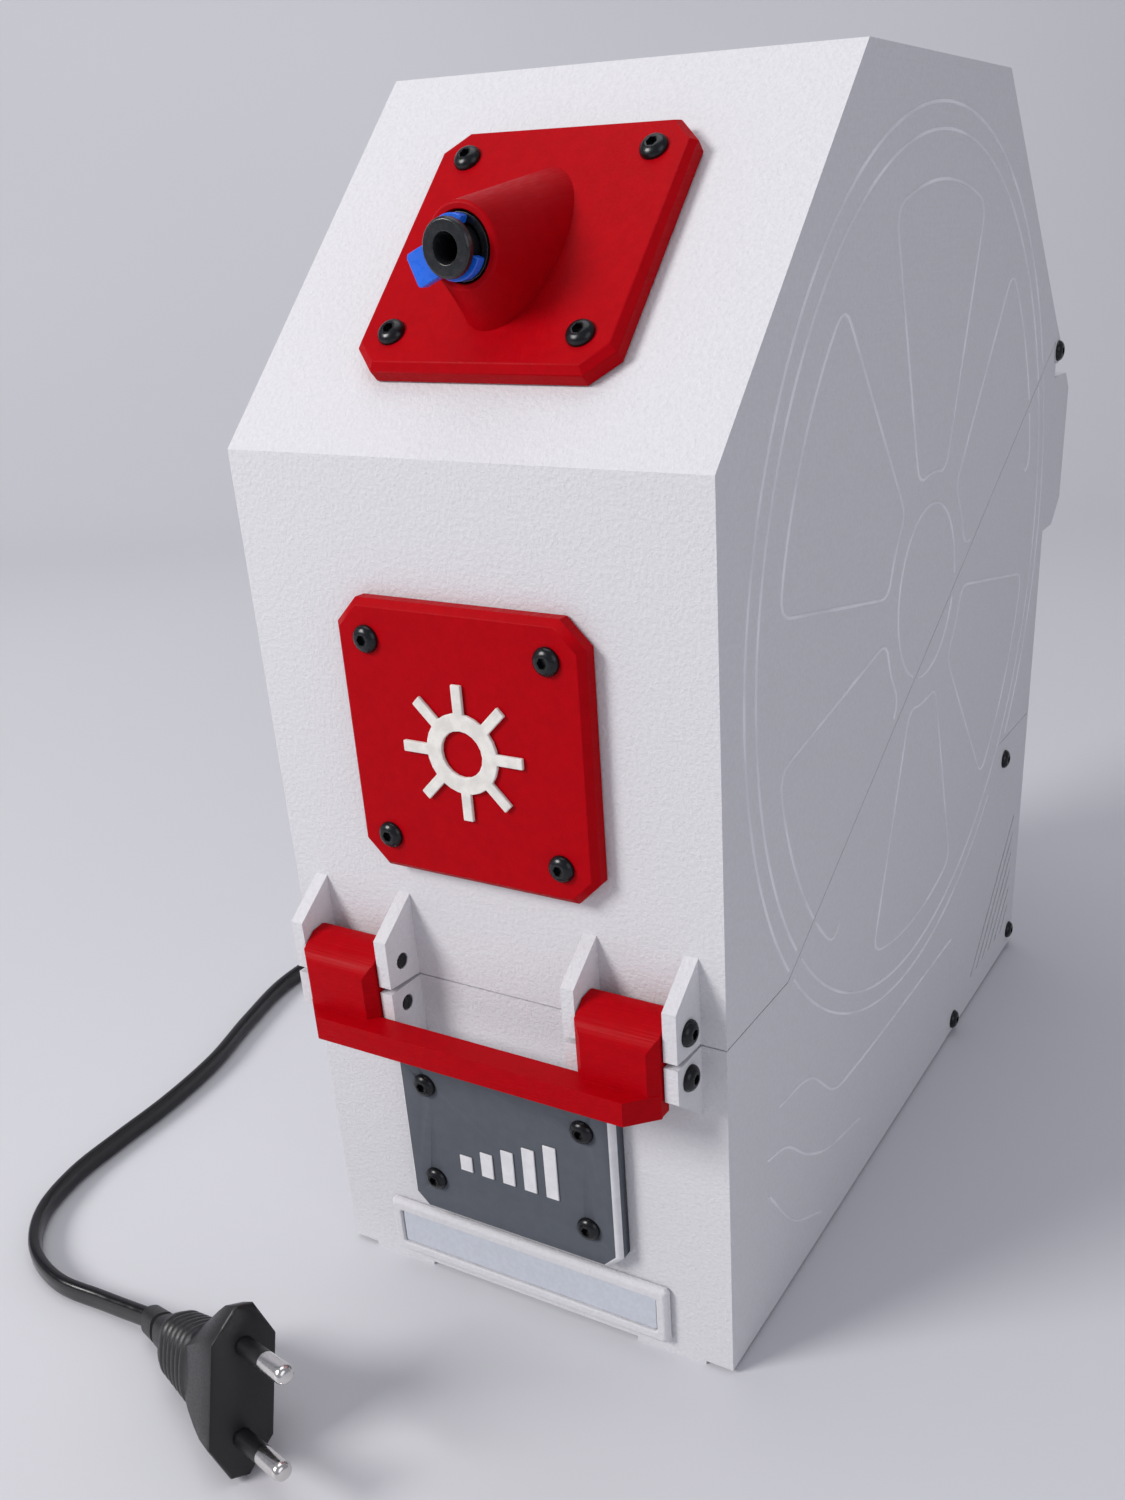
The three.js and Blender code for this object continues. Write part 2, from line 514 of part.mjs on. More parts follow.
// ---------------------------------------------------------------- spool rollers
function rollers() {
  const inside = WIDTH / 2 - WALL;
  ['front', 'rear'].forEach((name, i) => {
    const { y, z } = rollerPlaces[i];
    const place = (shape, material, part) => put(part, shape, material).position.set(0, y, z);
    place(rod(V(-inside - 1.4, 0, 0), V(inside + 1.4, 0, 0), AXLE_R, 16), steel, `roller_axle_${name}`);
    const pockets = mirrored((side) => rod(V(side * 36, 0, 0), V(side * 43, 0, 0), 8.3, 20));
    const sleeve = rod(V(-41.5, 0, 0), V(41.5, 0, 0), ROLLER_R, 24);
    place(cut(sleeve, [rod(V(-42, 0, 0), V(42, 0, 0), AXLE_R + 1, 16), ...pockets]), white, `roller_${name}`);
    mirrored((side) => place(cut(rod(V(side * 36.3, 0, 0), V(side * 41.3, 0, 0), 8, 20),
      [rod(V(side * 36, 0, 0), V(side * 42, 0, 0), (AXLE_R + RUN) / Math.cos(Math.PI / 16), 16)]), steel,
    `roller_bearing_${name}_${side < 0 ? 'left' : 'right'}`));
  });
}

// ---------------------------------------------------------------- side cover and hinge
function sideCover() {
  const half = WIDTH / 2;
  const plate = prism(coverOutline, half - COVER_T, half);
  const holes = coverScrews.map(([y, z]) => rod(V(half - 4, y, z), V(half + 1, y, z), M3_HOLE, 12));
  // Louvre slots rise at 45 degrees and fill the corner under the cover's slanting edge.
  const slots = Array.from({ length: 6 }, (_, i) => {
    const start = 168 + i * 6.4;
    return prism([[start, 9], [start + 2.2, 9], [208, 9 + 208 - start - 2.2], [208, 9 + 208 - start]],
      half - 4, half + 1);
  });
  put('side_cover', cut(plate, [...holes, ...slots]), white);
  coverScrews.forEach(([y, z], i) => sideScrew(`side_cover_screw_${i + 1}`, 6, 1, half, y, z));
}

function hingeBolts() {
  mirrored((side) => sideScrew(`hinge_bolt_${side < 0 ? 'left' : 'right'}`, 12, side,
    WIDTH / 2, HINGE_Y, HINGE_Z));
}

// ---------------------------------------------------------------- outlet housing on the rear
const blockOutline = [[0, 136], [9.8, 136.1], [REAR_BLOCK, 143], [REAR_BLOCK, 174.5], [13, 179], [0, 179]];

function rearHousing() {
  const half = WIDTH / 2;
  const shift = (points, dy) => points.map(([y, z]) => [y + DEPTH + dy, z]);
  const shell = prism(shift(blockOutline, GAP), -half, half);
  const hollowOutline = [[-1, 139], [9, 139], [14.8, 144], [14.8, 173], [11.5, 176], [-1, 176]];
  const hollow = prism(shift(hollowOutline, GAP), -48.5, 48.5);
  const louvres = Array.from({ length: 7 }, (_, i) =>
    block(-36, 36, DEPTH + 13, DEPTH + 20, 145.5 + i * 4, 147.3 + i * 4));
  const boss = block(-49, -45, DEPTH + GAP, DEPTH + 5, 168, 177);
  const bore = rod(V(-48.3, FLAP_AXIS.y, FLAP_AXIS.z), V(-44, FLAP_AXIS.y, FLAP_AXIS.z), 1.4 + RUN, 16);
  put('outlet_housing', cut(shell.subtract(hollow).add(boss), [...louvres, bore]), white);
  // The flap hangs on its upper edge and closes the window in the rear wall.
  const pin = (x0, x1, r) => rod(V(x0, FLAP_AXIS.y, FLAP_AXIS.z), V(x1, FLAP_AXIS.y, FLAP_AXIS.z), r, 16);
  const flap = block(-42.5, 42.5, DEPTH + 1, DEPTH + 3.2, 145, FLAP_AXIS.z - 0.6);
  put('outlet_flap', add([flap, pin(-48, 45.5, 1.4)]), white);
  const servo = block(43.2, 48, DEPTH + 0.3, DEPTH + 12, 150, 174.5);
  put('flap_servo', servo.subtract(pin(43, 46, 1.4 + RUN)), blue);
}

// ---------------------------------------------------------------- mains lead
// Route points are in the case frame. The flat lead lies on its wide face near the coil
// and stands on its edge from there to the plug.
const FLAT = CORD_T / 2 + 0.1 - FOOT;
const EDGE = CORD_W / 2 + 0.1 - FOOT;
const COIL_OUT = COIL_R + COIL_PITCH;
const COIL_X = CORD_EXIT_X - COIL_OUT;
const leadIn = [[CORD_EXIT_X, 243.2, CORD_EXIT_Z], [CORD_EXIT_X, 247, 13], [CORD_EXIT_X, 252, 9],
  [CORD_EXIT_X, 257, 4.2], [CORD_EXIT_X, 261, 1.6], [CORD_EXIT_X, 264.2, FLAT + 0.1]];
const leadOut = [[-63.2, 264, FLAT + 3.8], [-63.6, 258, FLAT + 2.8], [-65, 246, EDGE], [-75, 229, EDGE],
  [-91, 205, EDGE], [-109, 181, EDGE], [-127, 157, EDGE], [-142, 134, EDGE], [-151, 110, EDGE],
  [-152, 86, EDGE], [-146, 62, EDGE], [-139, 40, EDGE], [-135.5, 18, EDGE], [-134.5, 0, EDGE],
  [-133, -16, EDGE], [-127.5, -31, EDGE], [-117, -41.5, EDGE], [-103, -46.5, EDGE], [-88, -46.4, EDGE + 0.2],
  [-73.8, -46.2, 2.6]];
const PLUG_FACE = V(-26.6, -62.2, 16.2);
const PLUG_AXIS = V(0.914, -0.312, 0.26).normalize();
const PLUG_UP = V(-0.13, 0.382, 0.915);
const PLUG_LENGTH = 50;

const flatSection = () => new THREE.Shape(Array.from({ length: 12 }, (_, i) => {
  const angle = ((i + 0.5) / 12) * 2 * Math.PI;
  return new THREE.Vector2((CORD_W / 2) * Math.cos(angle), (CORD_T / 2) * Math.sin(angle));
}));

function lead(points, steps) {
  const path = new THREE.CatmullRomCurve3(points.map(([x, y, z]) => V(x, y, z)), false, 'centripetal');
  return new THREE.ExtrudeGeometry(flatSection(), { steps, extrudePath: path, bevelEnabled: false });
}

// The plug's frame: z along the pins, y along the pin pair, x through its thickness.
function plugFrame() {
  const z = PLUG_AXIS;
  const x = PLUG_UP.clone().cross(z).normalize();
  const y = z.clone().cross(x).normalize();
  const group = new THREE.Group();
  group.setRotationFromMatrix(new THREE.Matrix4().makeBasis(x, y, z));
  group.position.copy(PLUG_FACE);
  caseFrame.add(group);
  return group;
}

const oval = (a, b, z, sides = 16, power = 1) => Array.from({ length: sides }, (_, i) => {
  const angle = (i / sides) * 2 * Math.PI;
  const bend = (v) => Math.sign(v) * Math.abs(v) ** power;
  return V(a * bend(Math.cos(angle)), b * bend(Math.sin(angle)), z);
});

// Cross section of the plug's face: flat sides with a shoulder where they taper to the narrow ends.
function hexagon(reach, z) {
  const k = reach / 17.65;
  return [[6.85, -10.65], [6.85, 10.65], [2, 17.65], [-2, 17.65], [-6.85, 10.65], [-6.85, -10.65],
    [-2, -17.65], [2, -17.65]].map(([x, y]) => V(x * (0.5 + k / 2), y * k, z));
}

function mainsLead() {
  const gland = loft([oval(4.6, 4.6, -3.5), oval(4.6, 4.6, 0.3), oval(7, 7, 0.3), oval(6.6, 6.6, 4),
    oval(4.6, 3.6, 8), oval(3.4, 2.4, 27)]);
  const glandMesh = put('cord_gland', gland, rubber);
  glandMesh.position.set(CORD_EXIT_X, DEPTH, CORD_EXIT_Z);
  glandMesh.rotation.x = -Math.PI / 2;
  put('lead_from_case', lead(leadIn, 14), rubber);
  const inner = COIL_R - COIL_PITCH - CORD_W / 2 - 0.2;
  const outer = COIL_OUT + CORD_W / 2 + 0.2;
  const height = COIL_LAYERS * CORD_T + 0.4;
  const ring = [[inner, 0.05], [outer, 0.05], [outer, height], [inner, height]];
  const coil = put('lead_coil', turned(ring, 32).rotateX(Math.PI / 2), rubber);
  coil.position.set(COIL_X, COIL_Y, -FOOT);
  put('lead_to_plug', lead(leadOut, 70), rubber);

  const frame = plugFrame();
  const slab = loft([hexagon(8, -14), hexagon(16.3, -5), hexagon(17.65, -0.8), hexagon(17, 0)]);
  const grip = loft([oval(2.6, 3.3, -PLUG_LENGTH), oval(3.2, 3.6, -33), oval(5.2, 7, -32, 16, 0.7),
    oval(6.2, 8.6, -20, 16, 0.7), oval(6.3, 9, -11, 16, 0.7)]);
  put('plug_body', slab.add(grip), rubber, frame);
  mirrored((side) => {
    const pin = rod(V(0, side * 9.3, 0.3), V(0, side * 9.3, 17.6), 2, 12)
      .add(rod(V(0, side * 9.3, 17.5), V(0, side * 9.3, 19), 2, 12, 1));
    return put(`plug_pin_${side < 0 ? 'lower' : 'upper'}`, pin, steel, frame);
  });
}

// ---------------------------------------------------------------- assembly
slopeFrame.updateMatrix();
put('base_shell', baseShell(), white);
put('lid_shell', lidShell(), white);
put('lid_seal', sealRing(1.8, 1.6, GAP / 2), silicone);
badge();
numberPlate();
outlet();
latch();
lightBar();
heaterBay();
rollers();
sideCover();
hingeBolts();
rearHousing();
mainsLead();

export default dryer;
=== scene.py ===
"""Looks of the filament dryer box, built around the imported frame.

Case millimetres: x across from the middle, y back from the front face, z up from the bottom
of the walls. at() turns them into the row frame in metres.
"""
import math

import bmesh
import bpy
from mathutils import Matrix, Vector


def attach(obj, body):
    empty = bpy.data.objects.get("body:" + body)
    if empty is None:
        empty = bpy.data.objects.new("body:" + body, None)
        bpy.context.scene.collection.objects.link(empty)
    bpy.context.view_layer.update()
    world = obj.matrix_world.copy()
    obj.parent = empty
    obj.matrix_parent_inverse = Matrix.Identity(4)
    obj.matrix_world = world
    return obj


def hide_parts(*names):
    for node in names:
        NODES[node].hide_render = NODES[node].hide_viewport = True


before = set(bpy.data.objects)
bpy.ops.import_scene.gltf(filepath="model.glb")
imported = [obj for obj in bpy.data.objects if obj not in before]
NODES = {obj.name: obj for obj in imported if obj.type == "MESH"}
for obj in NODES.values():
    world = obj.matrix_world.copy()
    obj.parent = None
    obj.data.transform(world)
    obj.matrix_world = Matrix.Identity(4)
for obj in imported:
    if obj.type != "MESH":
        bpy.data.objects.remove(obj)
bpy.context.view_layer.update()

MM = 0.001
CENTRE_Y = 108.65
FOOT = 1.0
WIDTH = 103.0
HALF = WIDTH / 2
FRONT_TOP = 187.8
SEAM_Z = 81.0
SEAM_Y = 29.0
SEAM_RISE = 0.5835
PLATE_T = 4.2


def at(x, y, z):
    return Vector((x, y - CENTRE_Y, z + FOOT)) * MM


# ------------------------------------------------------------------ materials
class Nodes:
    """A material's node tree, built by name."""

    def __init__(self, name):
        self.material = bpy.data.materials.new(name)
        self.material.use_nodes = True
        self.tree = self.material.node_tree
        self.shader = self.tree.nodes["Principled BSDF"]

    def add(self, kind, **values):
        node = self.tree.nodes.new(kind)
        for key, value in values.items():
            if hasattr(node, key):
                setattr(node, key, value)
            else:
                node.inputs[key.replace("_", " ")].default_value = value
        return node

    def link(self, source, target):
        self.tree.links.new(source, target)

    def coords(self, scale=(1, 1, 1), rotation=(0, 0, 0)):
        place = self.add("ShaderNodeTexCoord")
        mapping = self.add("ShaderNodeMapping")
        mapping.inputs["Scale"].default_value = scale
        mapping.inputs["Rotation"].default_value = rotation
        self.link(place.outputs["Object"], mapping.inputs["Vector"])
        return mapping.outputs["Vector"]

    def noise(self, vector, scale, detail=2.0, roughness=0.5):
        node = self.add("ShaderNodeTexNoise", Scale=scale, Detail=detail, Roughness=roughness)
        self.link(vector, node.inputs["Vector"])
        return node.outputs["Fac"]

    def ramp(self, fac, low, high, at_low=0.35, at_high=0.65):
        node = self.add("ShaderNodeValToRGB")
        node.color_ramp.elements[0].position = at_low
        node.color_ramp.elements[1].position = at_high
        node.color_ramp.elements[0].color = (*low, 1)
        node.color_ramp.elements[1].color = (*high, 1)
        self.link(fac, node.inputs["Fac"])
        return node.outputs["Color"]

    def bump(self, height, distance, strength=1.0, normal=None):
        node = self.add("ShaderNodeBump", Strength=strength, Distance=distance)
        self.link(height, node.inputs["Height"])
        if normal:
            self.link(normal, node.inputs["Normal"])
        return node.outputs["Normal"]

    def maths(self, operation, a, b):
        node = self.add("ShaderNodeMath", operation=operation)
        for socket, value in zip(node.inputs, (a, b)):
            if isinstance(value, (int, float)):
                socket.default_value = value
            else:
                self.link(value, socket)
        return node.outputs[0]

    def set(self, **values):
        """Shader inputs by name; a socket is linked and a number is set."""
        for key, value in values.items():
            socket = self.shader.inputs[key.replace("_", " ")]
            if isinstance(value, bpy.types.NodeSocket):
                self.link(value, socket)
            else:
                socket.default_value = value
        return self.material


def shade(colour, factor):
    return tuple(min(1.0, channel * factor) for channel in colour)


def facing(nodes, axis):
    """How much the surface faces along an object axis, 0 to 1."""
    geometry = nodes.add("ShaderNodeTexCoord")
    parts = nodes.add("ShaderNodeSeparateXYZ")
    nodes.link(geometry.outputs["Normal"], parts.inputs[0])
    return nodes.maths("ABSOLUTE", parts.outputs[axis], 0.0)


def shell_print(name, colour):
    """White print: fuzzy grain where it faces the front or up, fine lines on the sides."""
    nodes = Nodes(name)
    grain = nodes.noise(nodes.coords(), 1150, 3.0, 0.62)
    blotch = nodes.noise(nodes.coords(), 260, 2.0)
    lines = nodes.noise(nodes.coords(scale=(1, 60, 3600)), 1.0, 2.0)
    side = nodes.maths("MULTIPLY", facing(nodes, 0), 0.92)
    front = nodes.maths("SUBTRACT", 1.0, side)
    height = nodes.maths("ADD", nodes.maths("MULTIPLY", grain, front),
                         nodes.maths("MULTIPLY", lines, nodes.maths("MULTIPLY", side, 0.35)))
    height = nodes.maths("ADD", height, nodes.maths("MULTIPLY", blotch, 0.3))
    return nodes.set(
        Base_Color=nodes.ramp(grain, shade(colour, 0.93), colour, 0.3, 0.7),
        Roughness=nodes.ramp(blotch, (0.66,) * 3, (0.78,) * 3),
        Normal=nodes.bump(height, 0.0003, 0.85),
        Specular_IOR_Level=0.3,
    )


def lined_print(name, colour, rough=0.42, lines=(0, 0, 1), pitch=0.0002, depth=0.00006, mottle=0.08):
    """Coloured print with its layer lines across the given axis."""
    nodes = Nodes(name)
    scale = tuple(1.0 / pitch if axis else 45.0 for axis in lines)
    layers = nodes.noise(nodes.coords(scale=scale), 1.0, 1.0)
    blotch = nodes.noise(nodes.coords(), 420, 2.0)
    height = nodes.maths("ADD", layers, nodes.maths("MULTIPLY", blotch, 0.4))
    return nodes.set(
        Base_Color=nodes.ramp(blotch, shade(colour, 1 - mottle), shade(colour, 1 + mottle)),
        Roughness=nodes.ramp(layers, (rough - 0.06,) * 3, (rough + 0.08,) * 3),
        Normal=nodes.bump(height, depth),
        Specular_IOR_Level=0.05,
    )


def moulded(name, colour, rough, scale=900.0, depth=0.00001, metallic=0.0, spread=0.06):
    """Moulded plastic or plain metal with a faint unevenness."""
    nodes = Nodes(name)
    fine = nodes.noise(nodes.coords(), scale, 3.0)
    broad = nodes.noise(nodes.coords(), 70, 2.0)
    return nodes.set(
        Base_Color=nodes.ramp(broad, shade(colour, 0.9), shade(colour, 1.08)),
        Metallic=metallic,
        Roughness=nodes.ramp(fine, (max(0.02, rough - spread),) * 3, (rough + spread,) * 3),
        Normal=nodes.bump(fine, depth),
    )


WHITE = (0.70, 0.695, 0.72)
SHELL = shell_print("shell_print", WHITE)
# Raised side lines in a paler colour than the shell: a painted highlight standing in for light caught on
# their edges; the ribs are the shell's own white.
SIDE_RIB_PAINTED_HIGHLIGHT = moulded("side_rib_painted_highlight", (0.80, 0.80, 0.83), 0.6)
RED_INK = (0.40, 0.0002, 0.004)
RED = lined_print("red_print", RED_INK, 0.42, mottle=0.04)
RED_FACE = lined_print("red_face_print", RED_INK, 0.46, lines=(1, 0, 1), pitch=0.0005, depth=0.00003,
                       mottle=0.04)
GREY = lined_print("grey_print", (0.105, 0.115, 0.135), 0.5, lines=(1, 0, 1), pitch=0.0005, depth=0.00003,
                   mottle=0.03)
CREAM = lined_print("cream_print", (0.74, 0.72, 0.68), 0.5, lines=(1, 0, 1), pitch=0.0005, depth=0.00005)
SCREW = moulded("black_oxide", (0.006, 0.007, 0.009), 0.26, metallic=0.3)
FITTING = moulded("fitting_black", (0.012, 0.013, 0.015), 0.25)
CLIP = moulded("clip_blue", (0.01, 0.13, 0.72), 0.3)
PVC = moulded("lead_pvc", (0.003, 0.003, 0.004), 0.2, scale=300.0)
PLUG = moulded("plug_pvc", (0.004, 0.004, 0.005), 0.42, scale=2200.0, depth=0.00002)
NICKEL = moulded("nickel", (0.72, 0.70, 0.68), 0.2, metallic=1.0)
STEEL = moulded("ground_steel", (0.6, 0.6, 0.62), 0.28, metallic=1.0)
ALLOY = moulded("heater_alloy", (0.6, 0.61, 0.63), 0.4, metallic=1.0)
FAN = moulded("fan_plastic", (0.02, 0.02, 0.022), 0.45)
BOARD = moulded("solder_mask", (0.02, 0.2, 0.08), 0.35)
SILICONE = moulded("seal_silicone", (0.62, 0.62, 0.58), 0.6)


def frosted(name, colour):
    nodes = Nodes(name)
    fine = nodes.noise(nodes.coords(scale=(900, 60, 900)), 1.0, 2.0)
    return nodes.set(
        Base_Color=nodes.ramp(fine, shade(colour, 0.96), shade(colour, 1.03)),
        Roughness=nodes.ramp(fine, (0.32,) * 3, (0.44,) * 3),
        Normal=nodes.bump(fine, 0.00002),
        Subsurface_Weight=0.3,
        Subsurface_Radius=(0.002, 0.002, 0.002),
    )


FROST = frosted("diffuser_frost", (0.56, 0.59, 0.65))


# ------------------------------------------------------------------ mesh helpers
def smooth(mesh, angle=32.0):
    mesh.shade_smooth()
    mesh.set_sharp_from_angle(angle=math.radians(angle))


def piece(name, points, faces, material, body, replaces=(), angle=32.0):
    """A mesh piece from points in the row frame, riding on a body."""
    mesh = bpy.data.meshes.new(name)
    mesh.from_pydata([tuple(p) for p in points], [], faces)
    mesh.validate()
    clean = bmesh.new()
    clean.from_mesh(mesh)
    bmesh.ops.recalc_face_normals(clean, faces=clean.faces)
    clean.to_mesh(mesh)
    clean.free()
    smooth(mesh, angle)
    mesh.materials.append(material)
    obj = bpy.data.objects.new(name, mesh)
    bpy.context.scene.collection.objects.link(obj)
    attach(obj, body)
    if replaces:
        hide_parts(*replaces)
    return obj


class Build:
    """Points and faces gathered for one piece."""

    def __init__(self, place=None):
        self.points = []
        self.faces = []
        self.place = place or (lambda p: p)

    def loft(self, rings, caps=(True, True), closed=True):
        start = len(self.points)
        count = len(rings[0])
        self.points += [self.place(p) for ring in rings for p in ring]
        for r in range(len(rings) - 1):
            for i in range(count if closed else count - 1):
                a = start + r * count + i
                b = start + r * count + (i + 1) % count
                self.faces.append((a, b, b + count, a + count))
        if caps[0]:
            self.faces.append(tuple(reversed(range(start, start + count))))
        if caps[1]:
            self.faces.append(tuple(range(start + (len(rings) - 1) * count, start + len(rings) * count)))
        return self


def bevel(obj, width, segments=2, angle=35.0):
    modifier = obj.modifiers.new("edges", "BEVEL")
    modifier.width = width * MM
    modifier.segments = segments
    modifier.limit_method = "ANGLE"
    modifier.angle_limit = math.radians(angle)
    modifier.harden_normals = False
    return obj


def dress(node, material, edge=0.0, segments=2, shading=30.0, keep_sharp=False):
    """A CAD node that stays: edges eased by modifiers, and its material."""
    obj = NODES[node]
    mesh = obj.data
    mesh.materials.clear()
    mesh.materials.append(material)
    for polygon in mesh.polygons:
        polygon.material_index = 0
    if "custom_normal" in mesh.attributes:
        mesh.attributes.remove(mesh.attributes["custom_normal"])
    smooth(mesh, shading)
    weld = obj.modifiers.new("weld", "WELD")
    weld.merge_threshold = 0.000002
    if edge:
        flat = obj.modifiers.new("flats", "DECIMATE")
        flat.decimate_type = "DISSOLVE"
        flat.angle_limit = math.radians(0.6)
        flat.delimit = {"MATERIAL"}
        bevel(obj, edge, segments)
    normals = obj.modifiers.new("normals", "WEIGHTED_NORMAL")
    normals.keep_sharp = keep_sharp
    normals.weight = 80
    return obj


def spline(points, step):
    """Centripetal Catmull-Rom through points, resampled about every step millimetres."""
    points = [Vector(p) for p in points]
    line = [points[0] * 2 - points[1]] + points + [points[-1] * 2 - points[-2]]
    out = [points[0]]
    for p0, p1, p2, p3 in zip(line, line[1:], line[2:], line[3:]):
        t = [0.0]
        for a, b in ((p0, p1), (p1, p2), (p2, p3)):
            t.append(t[-1] + math.sqrt(max((b - a).length, 1e-6)))
        count = max(2, round((p2 - p1).length / step))
        for i in range(1, count + 1):
            u = t[1] + (t[2] - t[1]) * i / count
            a1 = p0 * ((t[1] - u) / (t[1] - t[0])) + p1 * ((u - t[0]) / (t[1] - t[0]))
            a2 = p1 * ((t[2] - u) / (t[2] - t[1])) + p2 * ((u - t[1]) / (t[2] - t[1]))
            a3 = p2 * ((t[3] - u) / (t[3] - t[2])) + p3 * ((u - t[2]) / (t[3] - t[2]))
            b1 = a1 * ((t[2] - u) / (t[2] - t[0])) + a2 * ((u - t[0]) / (t[2] - t[0]))
            b2 = a2 * ((t[3] - u) / (t[3] - t[1])) + a3 * ((u - t[1]) / (t[3] - t[1]))
            out.append(b1 * ((t[2] - u) / (t[2] - t[1])) + b2 * ((u - t[1]) / (t[2] - t[1])))
    return out


def circle(radius, count, z=0.0, phase=0.0):
    return [Vector((radius * math.cos(phase + 2 * math.pi * i / count),
                    radius * math.sin(phase + 2 * math.pi * i / count), z)) for i in range(count)]


def frame_on(y, z, tilt):
    """Places local millimetres (x across, y up the face, z out of it) into the row frame."""
    turn = Matrix.Rotation(math.pi / 2 + tilt, 4, "X")

    def place(p):
        q = turn @ Vector(p)
        return at(q.x, q.y + y, q.z + z)
    return place


FEED_S = 43.4
SLOPE_UNIT = math.sqrt(0.5)
BADGE = frame_on(0, 135.3, 0)
NUMBER = frame_on(0, 42.5, 0)
SLOPE = frame_on(FEED_S * SLOPE_UNIT, FRONT_TOP + FEED_S * SLOPE_UNIT, -math.pi / 4)


# ------------------------------------------------------------------ screws
HEAD_R = 2.75
SHANK_R = 1.5
DOME = [(2.75, 0.3), (2.62, 0.66), (2.36, 1.0), (1.98, 1.28), (1.6, 1.46), (1.3, 1.54)]
HEX_R = 1.1
HEX_DEPTH = 1.05
SIDES = 24


def hexagon(z):
    """A hexagon with four points to a side, so that it meets a ring of 24."""
    turns = (math.pi * k / 3 for k in range(7))
    corners = [Vector((HEX_R * math.cos(turn), HEX_R * math.sin(turn), z)) for turn in turns]
    return [corners[k].lerp(corners[k + 1], step / 4) for k in range(6) for step in range(4)]


def screw(node, body, place, x, y, z, length):
    """A button head screw standing on z with its shank going down."""
    move = Vector((x, y, z))
    build = Build(lambda p: place(Vector(p) + move))
    rings = [circle(SHANK_R, SIDES, -length), circle(SHANK_R, SIDES, 0.0), circle(HEAD_R, SIDES, 0.0)]
    rings += [circle(r, SIDES, h) for r, h in DOME]
    rings += [hexagon(DOME[-1][1] - 0.05), hexagon(DOME[-1][1] - HEX_DEPTH)]
    build.loft(rings)
    name = node.replace("_screw", "_button_screw").replace("_bolt", "_button_bolt")
    return piece(name, build.points, build.faces, SCREW, body, (node,), 40.0)


SEAT = 0.02                     # heads stand this far off the face they clamp
NUMBER_LIFT = 0.5


def corners(px, pz):
    return [(-px / 2, pz / 2), (px / 2, pz / 2), (-px / 2, -pz / 2), (px / 2, -pz / 2)]


for stem, body, place, pitch, lift in (("badge", "lid", BADGE, 40, 0), ("feed_plate", "lid", SLOPE, 40, 0),
                                       ("number_plate", "base", NUMBER, 25, NUMBER_LIFT)):
    for index, (x, y) in enumerate(corners(40, pitch)):
        screw(f"{stem}_screw_{index + 1}", body, place, x, y + lift, PLATE_T + SEAT, 9)


def side_screw(node, body, side, x, y, z, length):
    turn = Matrix.Rotation(side * math.pi / 2, 4, "Y")
    move = Vector((side * (x + SEAT), y, z))

    def place(p):
        q = turn @ Vector(p) + move
        return at(q.x, q.y, q.z)
    return screw(node, body, place, 0, 0, 0, length)


for index, (y, z) in enumerate(((190.3, 73.3), (210.5, 5.8), (152.1, 3.6))):
    side_screw(f"side_cover_screw_{index + 1}", "base", 1, HALF, y, z, 6)
for side, word in ((-1, "left"), (1, "right")):
    side_screw(f"hinge_bolt_{word}", "base", side, HALF, 216.9, 186, 12)
    side_screw(f"latch_pivot_bolt_{word}", "lid", side, 46, -5, 86.6, 25)
    side_screw(f"latch_keeper_bolt_{word}", "base", side, 46, -5, 76.6, 25)


# ------------------------------------------------------------------ CAD nodes that stay
for node in ("base_shell", "lid_shell"):
    dress(node, SHELL, 0.35)
for node in ("side_cover", "outlet_housing", "outlet_flap"):
    dress(node, SHELL, 0.3)
dress("led_frame", SHELL, 0.5, 3)
for node in ("bay_partition", "roller_front", "roller_rear"):
    dress(node, SHELL, 0.3)
dress("badge_plate", RED_FACE, 0.25)
dress("latch_handle", RED, 0.45, 2, shading=20.0, keep_sharp=True)
dress("badge_emblem", CREAM, 0.2)
dress("number_plate", GREY, 0.0, keep_sharp=True)
BAND = lined_print("white_band_print", (0.72, 0.72, 0.74), 0.5, mottle=0.04)
plate = NODES["number_plate"].data
plate.materials.append(BAND)
for polygon in plate.polygons:
    # The plate faces -y; its bevel is the only part that faces part of the way there.
    if -0.9 < (NODES["number_plate"].matrix_world.to_3x3() @ polygon.normal).normalized().y < -0.3:
        polygon.material_index = 1
dress("led_diffuser", FROST, 0.2)
dress("led_strip", CREAM, 0.1)
dress("lid_seal", SILICONE)
dress("fitting_body", FITTING, 0.1)
dress("fitting_collet", FITTING, 0.12)
dress("flap_servo", CLIP, 0.3)
dress("cord_gland", PLUG, 0.2)
for end in ("front", "rear"):
    dress(f"roller_axle_{end}", STEEL, 0.3)
    for word in ("left", "right"):
        dress(f"roller_bearing_{end}_{word}", STEEL, 0.3)
dress("heater", ALLOY, 0.15)
dress("fan_frame", FAN, 0.3)
dress("fan_impeller", FAN, 0.1)
dress("controller_board", BOARD, 0.15)
dress("climate_sensor", BOARD, 0.15)


# ------------------------------------------------------------------ feed plate and clip
PLATE_W = 55.0
NOSE_Y = 9.4
AXIS_Z = 221.3
NOSE_R = 7.25
NOSE_EASE = 0.4
BORE_R = 5.8
BORE_DEPTH = 13
ROOT_HALF_W = 9.9               # the cone's foot is a long oval sunk a little into the plate
ROOT_HALF_L = 20.35
ROOT_RISE = 0.25
ROOT_Z = 1.5
PLATE_CORNER = 5.0
PLATE_BEVEL = 1.3
PLATE_GAP = 0.3
CONE_SIDES = 72


def cut_corners(size, corner, z):
    h = size / 2
    return [Vector((x, y, z)) for x, y in (
        (h, corner - h), (h, h - corner), (h - corner, h), (corner - h, h),
        (-h, h - corner), (-h, corner - h), (corner - h, -h), (h - corner, -h))]


def upright_ring(radius, y):
    return [at(p.x, y, AXIS_Z + p.y) for p in circle(radius, CONE_SIDES)]


